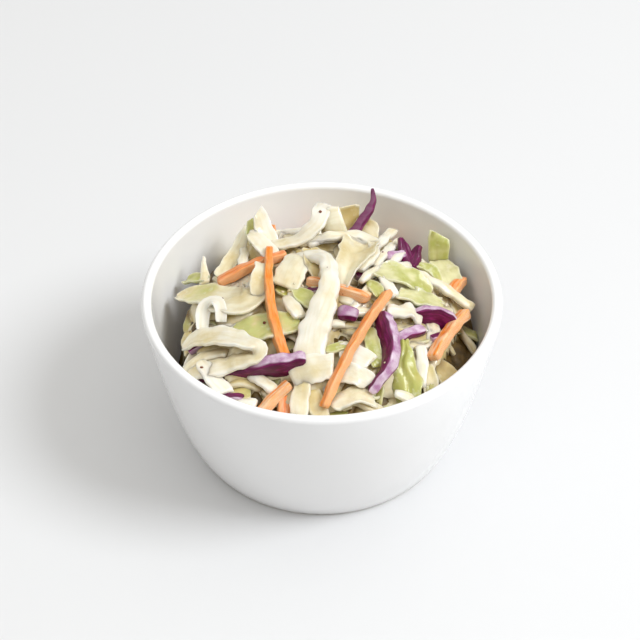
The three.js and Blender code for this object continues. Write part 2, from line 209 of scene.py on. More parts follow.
def glaze_material():
    """Clear glaze over white porcelain: very even, faintly rippled, bare and dull under the foot."""
    material, start, place = new_material("bowl_glaze")
    ripple = place.noise(55, 2)
    cloud = place.noise(14, 1)
    height = start.node("ShaderNodeSeparateXYZ", None, {0: place}, "Z")
    bare = 1 - height.between(WIPED_BELOW * MM, GLAZED_ABOVE * MM)
    grain = place.noise(2600, 3)
    white = blend(cloud, colour(251, 251, 251), colour(250, 249, 248))
    base = blend(bare, white, colour(226, 219, 207))
    roughness = 0.1 + 0.05 * ripple + 0.5 * bare
    relief = ripple + grain * bare * 0.4
    return cover(material, start, base, roughness, relief, 0.06, 0.4, IOR=1.5)


def bowl_profile():
    """The bowl's outline from under the foot, up the outside, over the rim and down inside."""
    ring_inside = FOOT_RADIUS - FOOT_RING
    outside = curve_points((FOOT_RADIUS, FOOT_ROUND), LOWER_CURVE, BELLY, WALL_STEPS)
    rim_centre = (RIM_RADIUS - RIM_ROUND, BOWL_HEIGHT - RIM_ROUND)
    return (
        [(0, FOOT_RECESS), (ring_inside - RECESS_EDGE, FOOT_RECESS)]
        + arc_points((ring_inside, FOOT_RECESS), FOOT_RECESS, 180, 270, 5)
        + arc_points((FOOT_RADIUS - FOOT_ROUND, FOOT_ROUND), FOOT_ROUND, 270, 340, 4)
        + outside[1:]
        + arc_points(rim_centre, RIM_ROUND, 0, 180, 16)
        + inner_profile(0, WALL_STEPS)[::-1]
    )


bowl = spin_profile("bowl_body", bowl_profile(), BOWL_SIDES)
bowl.data.materials.append(glaze_material())
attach(bowl, "root")
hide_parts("bowl")


# ---- The bed of slaw ------------------------------------------------------------------------------
# The imported slaw under the shreds that show: chopped cabbage soaked in dressing. It fills the bowl to
# an uneven dome, sinks to a gutter along the wall, and shows only in the gaps, in dark olive painted shade.
WALL_GAP = 0.3
HEAP_RADIUS = 43.5
HEAP_EDGE = 37
HEAP_TOP = 51
GUTTER_START = 34
GUTTER_DEPTH = 6.5
GUTTER_MEAN = 0.65
GUTTER_BACK = 0.35
GUTTER_RIGHT = 0.3
BED_LIFT = -0.8
BED_RIPPLE = 0.9
BED_CHUNK = 1.1
POCKET_MIDDLE = (-0.996, 0.087)
POCKET_START = 36.5
POCKET_WIDTH = 3
POCKET_DEPTH = 13
POCKET_EDGE = 0.9
POCKET_SOFT = 0.07
BED_EDGE_DROP = 0.6
BED_SIDE_STEPS = 14
BED_RINGS = 46
BED_SIDES = 150
MARGIN = 1


def heap_height(x, y):
    """The height of the heap's smooth surface, which the shreds' lifts are measured from."""
    ratio = (x * x + y * y) / HEAP_RADIUS ** 2
    return HEAP_EDGE + (HEAP_TOP - HEAP_EDGE) * np.maximum(0, 1 - ratio)


def soft_step(value):
    """0 below 0 and 1 above 1, with a soft step between them."""
    share = np.clip(value, 0, 1)
    return share * share * (3 - 2 * share)


def gutter(x, y):
    """How far the slaw sinks along the wall: least at the front, with a deep pocket on the left."""
    radius = np.hypot(x, y) + 1e-9
    beyond = np.maximum(0, radius - GUTTER_START) / (HEAP_RADIUS - GUTTER_START)
    facing = (x * POCKET_MIDDLE[0] + y * POCKET_MIDDLE[1]) / radius
    pocket = soft_step((facing - POCKET_EDGE) / POCKET_SOFT)
    pocket = pocket * soft_step((radius - POCKET_START) / POCKET_WIDTH)
    right = np.maximum(0, x / radius) ** 4
    share = GUTTER_MEAN + GUTTER_BACK * y / radius - GUTTER_RIGHT * right
    return GUTTER_DEPTH * share * beyond ** 2 + POCKET_DEPTH * pocket


def wall_radius(height, gap):
    """The inside radius of the bowl at a height, less a gap."""
    straight = BELLY[0] - WALL + (height - BELLY[1]) * WALL_SLOPE
    inner = np.array(inner_profile(0, WALL_STEPS))
    below = np.interp(height, inner[1:, 1], inner[1:, 0])
    return np.where(height > BELLY[1], straight, below) - gap


def bed_profile():
    """The bed's outline: up along the wall, then in to the axis in rings."""
    rim = float(wall_radius(HEAP_EDGE - GUTTER_DEPTH, WALL_GAP))
    top = [(rim * (BED_RINGS - ring) / BED_RINGS, HEAP_TOP) for ring in range(BED_RINGS + 1)]
    return inner_profile(WALL_GAP, BED_SIDE_STEPS) + top


def bed_height(x, y):
    """The height of the bed's top: broad ripples, with lumps as large as a chopped piece on them."""
    ripple = BED_RIPPLE * np.sin(x * 0.55 + y * 0.21) * np.cos(y * 0.48 - x * 0.17)
    chunk = BED_CHUNK * np.sin(x * 1.5 + 2 * np.sin(y * 0.7)) * np.sin(y * 1.3 + np.cos(x))
    return heap_height(x, y) + BED_LIFT + ripple + chunk - gutter(x, y)


def raise_bed(piece):
    """Pulls the bed's top down to the dome, and its side down to what is left of it along the wall."""
    for vertex in piece.data.vertices:
        x, y, z = (value / MM for value in vertex.co)
        radius = math.hypot(x, y)
        on_top = z > BELLY[1] + MARGIN
        if on_top:
            height = float(bed_height(x, y))
        elif z > FLOOR_TOP + MARGIN:
            edge = bed_height(x * HEAP_RADIUS / radius, y * HEAP_RADIUS / radius) - BED_EDGE_DROP
            share = (min(BELLY[1], float(edge)) - FLOOR_TOP) / (BELLY[1] - FLOOR_TOP)
            height = FLOOR_TOP + (z - FLOOR_TOP) * share
        else:
            continue
        limit = float(wall_radius(height, WALL_GAP))
        if radius > limit or not on_top:
            vertex.co.x *= limit / radius
            vertex.co.y *= limit / radius
        vertex.co.z = height * MM


def bed_material():
    """Soaked chopped cabbage, its colour painted shade: dark olive and tan, wet."""
    material, start, place = new_material("slaw_bed")
    patch = place.noise(260, 3)
    chop = start.node("ShaderNodeTexVoronoi", None, {"Vector": place, "Scale": 420})
    base = blend(patch.between(0.35, 0.65), colour(68, 50, 10), colour(106, 82, 30))
    base = blend(chop.between(0.3, 0.75) * 0.3, base, colour(66, 48, 10))
    return cover(material, start, base, 0.3 + 0.2 * patch, patch + 0.4 * chop, 0.5, 1.0)


bed = spin_profile("slaw_bed", bed_profile(), BED_SIDES)
raise_bed(bed)
bed.data.materials.append(bed_material())
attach(bed, "root")
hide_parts("slaw")


# ---- White cabbage --------------------------------------------------------------------------------
# Long shreds of the pale heart of the cabbage, cut across the leaf: thick, wet and bent, with one
# smooth skin above, one below and rough cut edges between. They lie all through the heap.
STEP = 0.8
EDGE_STOPS = (0, 0.12, 0.45, 1)
# The lengths along a shred, in mm, over which it varies, and by how much
TWIST_WAVE = 26
SWAY_WAVE = 11
LIFT_WAVE = 9
LIFT_SWAY = 0.7
WIDTH_WAVE = 7
NARROWEST = 0.5
THICK_WAVE = 8
THICK_UNEVEN = 0.12
THICK_MOST = 1.6
JAG_WAVE = 5
RUFFLE_WAVE = 7
DIMPLE_ACROSS = 1.7
DIMPLE_ALONG = 0.9
RIB_BREADTH = 0.1
FOLD_WAVE = 17
FOLD_DRIFT = 0.3
FOLD_BREADTH = 0.04
# Its ends: how they round off, their slant, and the small ring and the point that close them
END_ROUND = 0.7
END_WIDTH = 0.88
END_THICK = 0.82
END_SLANT = 0.7
END_LENGTH = 3
CAP_SIZE = 0.62
CAP_PUSH = 0.07
CAP_POINT = 1.15
# Where its underside lies on its own map, and how much dressing clings to it
UNDERSIDE = 40
CLINGING = 0.5


def lay(start, heading, reach, turns, lifts, widths, **more):
    """One shred. It starts at a place and sets out at a heading (0 is +X, 90 is +Y) for its reach, seen
    from above, and turns by each of its turns in equal stretches. Lifts are its heights above the
    heap and widths its breadths, spaced equally. Tilts roll it, and cup lifts its edges."""
    return dict(start=start, heading=heading, reach=reach, turns=turns, lifts=lifts, widths=widths, **more)


def value_along(values, share):
    """Reads equally spaced values at shares of their length along one smooth curve."""
    values = np.atleast_1d(np.asarray(values, float))
    last = len(values) - 1
    if last == 0:
        return np.full(np.shape(share), values[0])
    place = share * last
    index = np.minimum(np.floor(place).astype(int), last - 1)
    part = place - index
    start, end = values[index], values[index + 1]
    slope_start = np.where(index > 0, (end - values[np.maximum(index - 1, 0)]) / 2, end - start)
    after = values[np.minimum(index + 2, last)]
    slope_end = np.where(index + 2 <= last, (after - start) / 2, end - start)
    square, cube = part ** 2, part ** 3
    rise = 3 * square - 2 * cube
    lean_start, lean_end = cube - 2 * square + part, cube - square
    return start + (end - start) * rise + slope_start * lean_start + slope_end * lean_end


def make_random(seed):
    """Seeded random numbers from 0 to 1, the same on every run."""
    state = seed

    def draw():
        nonlocal state
        state = state * 16807 % 2147483647
        return state / 2147483647
    return draw


def route_of(shred, step):
    """The places that a shred passes, its heading and its share of the way there."""
    stretches = len(shred["turns"])
    steps = stretches * max(3, round(shred["reach"] / (step * stretches)))
    stride = shred["reach"] / steps
    turn = np.radians(np.repeat(shred["turns"], steps // stretches)) * stretches / steps
    heading = math.radians(shred["heading"]) + np.concatenate([[0], np.cumsum(turn)])
    middle = heading[:-1] + turn / 2
    x = shred["start"][0] + np.concatenate([[0], np.cumsum(stride * np.cos(middle))])
    y = shred["start"][1] + np.concatenate([[0], np.cumsum(stride * np.sin(middle))])
    share = np.arange(steps + 1) / steps
    z = heap_height(x, y) + value_along(shred["lifts"], share)
    if shred.get("sunk"):
        z = z - gutter(x, y)
    return np.stack([x, y, z], 1), heading, share


def wander(draw, along, wavelength):
    """A smooth uneven line from about -1 to 1, drawn along a length."""
    total = np.zeros_like(along)
    for octave, weight in ((1, 0.62), (1.9, 0.38)):
        total = total + weight * np.sin(along * math.tau * octave / wavelength + math.tau * draw())
    return total


def strip_mesh(shred, kind, draw):
    """One shred as a closed tube of its cross-section: vertices in mm, faces and surface values."""
    place, heading, share = route_of(shred, shred.get("step", STEP))
    along = share * shred["reach"]
    ahead = np.gradient(place, axis=0)
    ahead /= np.linalg.norm(ahead, axis=1)[:, None]
    flat = np.stack([np.sin(heading), -np.cos(heading), np.zeros_like(heading)], 1)
    twist = kind["twist"] * wander(draw, along, TWIST_WAVE)
    tilt = np.radians(value_along(shred.get("tilt", 0), share) + twist)
    side = flat * np.cos(tilt)[:, None] + np.cross(ahead, flat) * np.sin(tilt)[:, None]
    above = np.cross(side, ahead)
    above /= np.linalg.norm(above, axis=1)[:, None]
    place = place + side * (kind["sway"] * wander(draw, along, SWAY_WAVE))[:, None]
    place = place + above * (kind["sway"] * LIFT_SWAY * wander(draw, along, LIFT_WAVE))[:, None]

    # Breadth and thickness, both drawn in at the two ends
    to_end = np.minimum(along, shred["reach"] - along)
    closing = np.sqrt(np.clip(to_end / kind.get("blunt", END_ROUND), 0, 1))
    width = value_along(shred["widths"], share) * (1 + kind["uneven"] * wander(draw, along, WIDTH_WAVE))
    width = np.maximum(width, NARROWEST) * (END_WIDTH + (1 - END_WIDTH) * closing)
    thick = value_along(shred.get("thick", kind["thick"]), share) * (END_THICK + (1 - END_THICK) * closing)
    thick = np.minimum(thick * (1 + THICK_UNEVEN * wander(draw, along, THICK_WAVE)), width * THICK_MOST)

    # Columns across the upper face, crowded at the two rounded edges
    corner = np.minimum(thick, width) * kind["corner"]
    stops = np.array(EDGE_STOPS)
    inner = np.linspace(0, 1, kind["across"] + 2)[1:-1]
    left = -width[:, None] / 2 + corner[:, None] * stops
    reach_in = (width - 2 * corner)[:, None]
    middle = -width[:, None] / 2 + corner[:, None] + reach_in * inner
    out = np.concatenate([left, middle, -left[:, ::-1]], 1)
    edge = np.minimum((width[:, None] / 2 - np.abs(out)) / corner[:, None], 1)
    jag_left = kind.get("jag", 0) * wander(draw, along, JAG_WAVE)
    jag_right = kind.get("jag", 0) * wander(draw, along, JAG_WAVE)
    half = thick[:, None] / 2 - corner[:, None] * (1 - np.sqrt(np.clip(1 - (1 - edge) ** 2, 0, 1)))
    ratio = out / (width[:, None] / 2)
    out = out + np.where(ratio < 0, jag_left[:, None], jag_right[:, None]) * ratio ** 6
    rib = 1 + kind.get("rib", 0) * np.exp(-(ratio ** 2) / RIB_BREADTH)
    ruffle = kind["ruffle"] * shred.get("ruffle", 1)
    wave_left = wander(draw, along, kind.get("ruffle_length", RUFFLE_WAVE))
    wave_right = wander(draw, along, kind.get("ruffle_length", RUFFLE_WAVE))
    wave = np.where(ratio < 0, wave_left[:, None], wave_right[:, None]) * ratio ** 2 * ruffle
    dimple = np.sin(out * DIMPLE_ACROSS + along[:, None] * DIMPLE_ALONG + math.tau * draw())
    dimple = kind["dimple"] * dimple
    fold_side = FOLD_DRIFT * wander(draw, along, FOLD_WAVE)[:, None]
    fold = shred.get("fold", 0) * np.exp(-((ratio - fold_side) ** 2) / FOLD_BREADTH)
    sag = value_along(shred.get("cup", 0), share)[:, None] * ratio ** 2 + wave + dimple - fold
    upper, lower = sag + half * rib, sag - half

    # The two ends are cut at a slant
    slant = (draw() - 0.5) * kind.get("slant", END_SLANT)
    slant_end = (draw() - 0.5) * kind.get("slant", END_SLANT)
    slant, slant_end = shred.get("slants", (slant, slant_end))
    fade = np.clip(1 - along / END_LENGTH, 0, 1)
    fade_end = np.clip(1 - (shred["reach"] - along) / END_LENGTH, 0, 1)
    shift = out * (slant * fade + slant_end * fade_end)[:, None]

    def corners(up, across):
        return (
            place[:, None, :] + side[:, None, :] * across[..., None]
            + above[:, None, :] * up[..., None] + ahead[:, None, :] * shift[..., None]
        )

    rings = np.concatenate([corners(upper, out), corners(lower, out)[:, ::-1]], 1)
    # The band along the cut edges: bared flesh, which the cabbage and carrot materials also paint as a
    # highlight.
    bare = value_along(shred.get("bare", 1), share)
    from_edge = width[:, None] / 2 - np.abs(out)
    cut_and_highlight = np.clip(1 - from_edge / kind["rim"], 0, 1) * bare[:, None]
    cut_and_highlight = np.concatenate([cut_and_highlight, cut_and_highlight[:, ::-1]], 1)
    crosswise = np.concatenate([out, out[:, ::-1] + UNDERSIDE], 1)
    lengthwise = np.repeat(along[:, None], rings.shape[1], 1)

    # A smaller ring and a middle point close each end
    def closed(ring, direction, push):
        centre = ring.mean(0)
        small = centre + (ring - centre) * CAP_SIZE + direction * push
        return np.concatenate([small, [centre + direction * push * CAP_POINT]])

    count = rings.shape[1]
    push = float(np.mean(thick)) * kind.get("push", CAP_PUSH)
    cap_start = closed(rings[0], -ahead[0], push)
    cap_end = closed(rings[-1], ahead[-1], push)
    vertices = np.concatenate([
        cap_start[:count], rings.reshape(-1, 3), cap_end[:count], cap_start[count:], cap_end[count:],
    ])
    total = len(rings) + 2
    row = np.arange(total - 1)[:, None] * count
    column = np.arange(count)[None, :]
    following = (column + 1) % count
    quads = np.stack([row + column, row + following, row + count + following, row + count + column], -1)
    tip, tail = total * count, total * count + 1
    last = (total - 1) * count
    ring_ids = np.arange(count)
    fan = np.stack([ring_ids, np.full(count, tip), (ring_ids + 1) % count], 1)
    fan_end = np.stack([last + ring_ids, last + (ring_ids + 1) % count, np.full(count, tail)], 1)

    def surface(values, ends=None):
        first, final = values[0], values[-1]
        if ends is not None:
            first, final = (np.full(count, end) for end in ends)
        return np.concatenate([first, values.reshape(-1), final, [first.mean(), final.mean()]])

    # Tone: drawn at random, or given; a high given tone is painted shade on shreds that lie in shade.
    tone = shred.get("tone", draw())
    green = value_along(shred.get("green", kind.get("green", 0)), share)
    green = green[:, None] + np.zeros_like(crosswise)
    values = {
        "cut_and_highlight": surface(cut_and_highlight, (bare[0], bare[-1])),
        "tone": np.full(len(vertices), tone),
        "green": surface(green),
        "film": np.full(len(vertices), shred.get("film", CLINGING)),
        "buried_shade": np.zeros(len(vertices)),
    }
    run = np.stack([surface(lengthwise), surface(crosswise)], 1)
    keep_inside(vertices)
    return vertices, quads.reshape(-1, 4), np.concatenate([fan, fan_end]), values, run


def keep_inside(vertices):
    """Draws in what would reach into the bowl's wall."""
    radius = np.hypot(vertices[:, 0], vertices[:, 1])
    limit = wall_radius(vertices[:, 2], WALL_GAP)
    limit = np.where(vertices[:, 2] > BOWL_HEIGHT, radius, limit)
    share = np.where(radius > limit, limit / np.maximum(radius, 1e-6), 1)
    vertices[:, 0] *= share
    vertices[:, 1] *= share


def add_object(name, data):
    """A new object in the scene that holds that mesh, lamp or camera."""
    added = bpy.data.objects.new(name, data)
    bpy.context.scene.collection.objects.link(added)
    return added


def join_strips(name, shreds, kind, seed):
    """Many shreds of one kind as one mesh, with their values kept on the vertices."""
    draw = make_random(seed)
    parts = [strip_mesh(shred, kind, draw) for shred in shreds]
    first = np.cumsum([0] + [len(part[0]) for part in parts])
    vertices = np.concatenate([part[0] for part in parts]) * MM
    quads = np.concatenate([part[1] + start for part, start in zip(parts, first)])
    fans = np.concatenate([part[2] + start for part, start in zip(parts, first)])
    mesh = bpy.data.meshes.new(name)
    mesh.from_pydata(vertices.tolist(), [], quads.tolist() + fans.tolist())
    for value in ("cut_and_highlight", "tone", "green", "film", "buried_shade"):
        attribute = mesh.attributes.new(value, "FLOAT", "POINT")
        attribute.data.foreach_set("value", np.concatenate([part[3][value] for part in parts]))
    run = np.concatenate([part[4] for part in parts])
    corners = np.zeros(len(mesh.loops), np.int32)
    mesh.loops.foreach_get("vertex_index", corners)
    mesh.uv_layers.new(name="run").data.foreach_set("uv", run[corners].reshape(-1))
    mesh.polygons.foreach_set("use_smooth", np.ones(len(mesh.polygons), bool))
    mesh.update()
    return add_object(name, mesh)


BARE_START = 30
BARE_SECTORS = ((138, 222), (312, 352))
BARE_PULL = 0.78
STREWN_BEND = 100
STREWN_ROLL = 60
STREWN_STEP = 1.2
STREWN_LIFTS = (-1.2, 0.3, 0.2, -1.4)


def strewn(count, seed, reach, width, lift, ring=(0, 42), sector=(0, 360)):
    """Shreds that fill in under the placed ones, strewn at random over a ring and a sector of the bed.
    They keep off the wall on the left and at the front right, where it is bare."""
    draw = make_random(seed)
    shreds = []
    for _ in range(count):
        radius = math.sqrt(ring[0] ** 2 + (ring[1] ** 2 - ring[0] ** 2) * draw())
        angle = math.radians(sector[0] + (sector[1] - sector[0]) * draw())
        facing = math.degrees(angle) % 360
        if radius > BARE_START and any(first < facing < last for first, last in BARE_SECTORS):
            radius *= BARE_PULL
        length = reach[0] + (reach[1] - reach[0]) * draw()
        heading = 360 * draw()
        bends = [STREWN_BEND * (draw() - 0.5), STREWN_BEND * (draw() - 0.5)]
        middle = math.radians(heading + bends[0] / 2)
        start = (
            radius * math.cos(angle) - length / 2 * math.cos(middle),
            radius * math.sin(angle) - length / 2 * math.sin(middle),
        )
        broad = width[0] + (width[1] - width[0]) * draw() ** 1.5
        low = lift[0] + (lift[1] - lift[0]) * draw()
        shreds.append(lay(
            start, heading, length, bends, [low + rise for rise in STREWN_LIFTS],
            [broad * 0.7, broad, broad * (0.7 + 0.4 * draw()), broad * 0.6],
            tilt=[STREWN_ROLL * (draw() - 0.5), STREWN_ROLL * (draw() - 0.5)],
            sunk=True, tone=draw(), step=STREWN_STEP,
        ))
    return shreds


def surface_values(start, *names):
    """Shader values read from the mesh's own attributes."""
    return [start.node("ShaderNodeAttribute", {"attribute_name": name}, None, "Fac") for name in names]


def drawn_out(run, along, across):
    """The place on the shreds' own map, scaled so that noise on it is drawn out along them."""
    return run.node("ShaderNodeMapping", None, {"Vector": run, "Scale": (along, across, 1)})


def cabbage_material(name, flesh, shaded, leaf, buried_shade_colour, pale_rim_and_highlight):
    """Wet cabbage: pale flesh that clouds to yellow and tan at random, and towards the shaded tan by its
    tone, which is painted shade on shreds set to lie in shade; green in soft patches where the leaf is;
    whiter at the cut edges, partly paler flesh and partly a painted rim highlight; and painted shade,
    dark yellow, the deeper it lies in the heap. A milky film of dressing clings to it in smears and shines."""
    material, start, place = new_material(name)
    tone, green, cut_and_highlight, buried_shade = surface_values(start, "tone", "green", "cut_and_highlight", "buried_shade")
    run = start.node("ShaderNodeUVMap", {"uv_map": "run"})
    fibre = drawn_out(run, 0.1, 0.8).noise(1.1, 4)
    cloud = place.noise(85, 1)
    patch = place.noise(240, 2)
    mottle = place.noise(700, 3)
    # The shaded tan is drawn in at random by clouds and patches, and by a high tone as painted shade.
    base = blend((tone * 0.6 + cloud * 1.1 + patch * 0.7 - 0.8).between(0.0, 0.75), flesh, shaded)
    leafy = (green + (patch - 0.5) * 2 * green + (cloud - 0.5) * 1.6 * green).between(0.2, 0.95)
    base = blend(leafy, base, leaf)
    base = blend((fibre - 0.48) * 1.3, base, shaded)
    film = (patch * 0.55 + mottle * 0.45).between(0.53, 0.68)
    base = blend(film * 0.35, base, colour(244, 240, 226))
    # Whiter at the cut edges: partly paler cut flesh, partly a painted rim highlight.
    base = blend(cut_and_highlight * pale_rim_and_highlight, base, colour(243, 240, 230))
    # Painted shade: dark yellow the deeper the shred lies in the heap.
    base = blend(buried_shade * 0.94, base, buried_shade_colour)
    roughness = 0.34 - 0.14 * film + 0.12 * mottle
    relief = fibre * 0.5 + mottle * 0.3 + patch * 0.9 + film * 0.25
    return cover(
        material, start, base, roughness, relief, 0.26, 0.4, IOR=1.42,
        Subsurface_Weight=0.7, Subsurface_Radius=(0.8, 0.9, 1.0), Subsurface_Scale=2 * MM,
        Coat_Weight=0.5, Coat_Roughness=0.08,
    )


white_kind = dict(
    thick=1.6, across=6, sway=0.18, twist=6, uneven=0.08, rib=0.2, ruffle=0.3, dimple=0.05, corner=0.36,
    jag=0.14, rim=0.9,
)
white_shreds = [
    # The large hook over the middle, the flap across its tail and the strip under it
    lay((-7.4, 12), 18, 47, [-72, -32, -16, -8, 8, 8], [3, 5.5, 6.5, 6, 5.2, 4.4, 3],
        [4.4, 4.8, 5, 6, 7.8, 8.6, 7.6], thick=1.6, cup=-0.7, fold=0.2, tone=0),
    lay((-5, -29.5), -97, 10, [0], [2.6, 2.2], [5], tone=0.25),
    lay((-8.6, -29.4), 6, 11.8, [4], [3.4, 4.2, 3.8], [7.4, 8, 7.6], thick=0.9, tilt=30, cup=-0.1, tone=0,
        slants=(0.15, -0.2)),
    # The arched strip, the long strip that turns back on itself and the small arch on the left
    lay((-32.6, -10.2), 92, 16.5, [0, -10, -90, -60, -10, -10], [3, 4.4, 5.4, 6, 6, 5.4, 4.2],
        [3.4, 4, 3.8, 3.6, 3.4, 3.4], cup=0.5, thick=1, tone=0.1),
    lay((-38, -13), -2, 45, [-10, -14, -4, -2, 2, -162, 6, 4, -8, 20],
        [2.6, 4.2, 4.8, 5.2, 5.6, 5.8, 5, 4.2, 4, 4, 3.4],
        [2.6, 6.8, 7.8, 7.8, 6.2, 4.4, 5.2, 6.6, 6.6, 5.8, 4],
        cup=[0.6, 0.6, 0, -0.4, -0.5], thick=1.2, fold=0.2, tone=0.45),
    lay((-33, -21), -58, 12.4, [8], [4.6, 4, 3], [3.6, 4.8, 4.8], tone=0),
    lay((-25.5, -19.8), 158, 14, [18, 22, 32], [2.6, 3, 2.8, 2], [3, 3.2, 2.8], tone=0.3),
    lay((-19.6, -27.4), -30, 8.4, [-10], [1.8, 2.6, 2.2], [1.2, 3.4, 3.6], tone=0),
    lay((-22.4, -33), -20, 5.4, [-16], [2, 2.4], [3.4, 3.8], tone=0),
    # Small chips near the middle
    lay((-10.2, -3.8), -62, 9, [4], [2, 2.6, 2], [2.2, 4, 3.8], tone=0.2),
    lay((2.2, -13.8), -4, 4, [0], [2.4, 2], [2.6, 2], tone=0.2),
    # The strips that stand at the back, left to right
    lay((-21.8, 22.5), -94, 11, [2], [3.4, 2.6], [2.8], tone=0),
    lay((-13.6, 20.5), 124, 9, [-4], [2.6, 7, 13.6], [5, 5.4, 4.4], cup=0.4, thick=1, tone=0.2,
        slants=(0, 0.7)),
    lay((-20.6, 23.4), -50, 11.6, [-6], [8.2, 6, 3.2], [3.4, 5.2, 5.6], cup=0.3, thick=1, tone=0.1,
        slants=(0.6, 0)),
    lay((-33, 11.5), 94, 8, [0], [1.6, 7], [3.4, 0.8], tone=0.4),
    lay((-17, 20), 2, 25, [0, 8, 30, 44, -20], [3.4, 4, 4.6, 7.6, 11.4, 12.4], [3.6, 4.2, 5, 5, 5.2, 5],
        thick=1.2, tone=0.1),
    lay((-6, 21), -10, 37, [16, 24, -56, -64, -24, -10], [3.4, 5, 5.2, 5.2, 5, 4.4, 3],
        [3.2, 3.2, 3.4, 3.6, 3.4, 3, 2.4], tone=0.2),
    lay((-3.6, 18.6), 34, 9, [-30], [3.4, 4.6, 4.2], [1.6, 2.6, 2], tone=0),
    lay((20.6, 31.4), -112, 20, [-2, -4], [6, 5, 3.8, 2.4], [3, 2.6, 2.2], tone=0.1),
    lay((22.6, 26.6), -114, 18, [-2, 2], [5, 4.6, 4, 2.6], [2.4, 2.8, 2.2], tone=0.35),
    lay((23.8, 20), -117, 17, [0, 4], [4.6, 4.4, 3.6, 2.4], [2.2, 2.6, 2.4], tone=0.1),
    lay((25, 12.5), -156, 18, [12, 16], [4.2, 4.4, 3], [3, 3, 2.2], tone=0.3),
    lay((24, 12), -29, 20.2, [4, 2], [3, 4.2, 4], [2.6, 3, 2.8], thick=1.8, tone=0.45, green=0.2),
    # Pieces at the right and along the front
    lay((18, -7.4), -2, 9.4, [-6], [3, 3.8, 3.6], [4, 5.6, 5.2], thick=1.4, ruffle=4, tone=0),
    lay((16.6, 3.4), -54, 7, [-10], [4.6, 3.4], [3], tone=0),
    lay((27, -17), -88, 11, [-4], [2.8, 2.4, 1.4], [3, 3.4, 2.6], tone=0.1),
    lay((4.6, -22.4), -14, 9, [-6], [2.6, 3, 2.4], [5.4, 6.2, 5.4], thick=0.9, tilt=20, cup=0.2, tone=0,
        slants=(0.3, -0.3)),
    lay((4.6, -28.6), -8, 8.6, [-14], [2.6, 3.4, 2.8], [5.2, 6, 4.8], thick=1, tilt=24, cup=0.4, ruffle=3,
        tone=0),
    lay((19.6, -31.8), -14, 6.4, [10], [2, 2.6, 1.6], [2.6, 3.2, 2.4], tone=0.1),
]
white_cabbage = join_strips(
    "white_cabbage_shreds",
    white_shreds + strewn(140, 4117, (10, 24), (2, 5), (-1.2, 1.2))
    + strewn(22, 2617, (10, 20), (2, 4.6), (0, 1.6), (22, 40), (62, 128)),
    white_kind, 811,
)
white_cabbage.data.materials.append(cabbage_material(
    "white_cabbage", colour(244, 239, 223), colour(216, 197, 138), colour(202, 203, 136),
    colour(126, 94, 28), 0.5,
))
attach(white_cabbage, "root")
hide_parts("slaw")


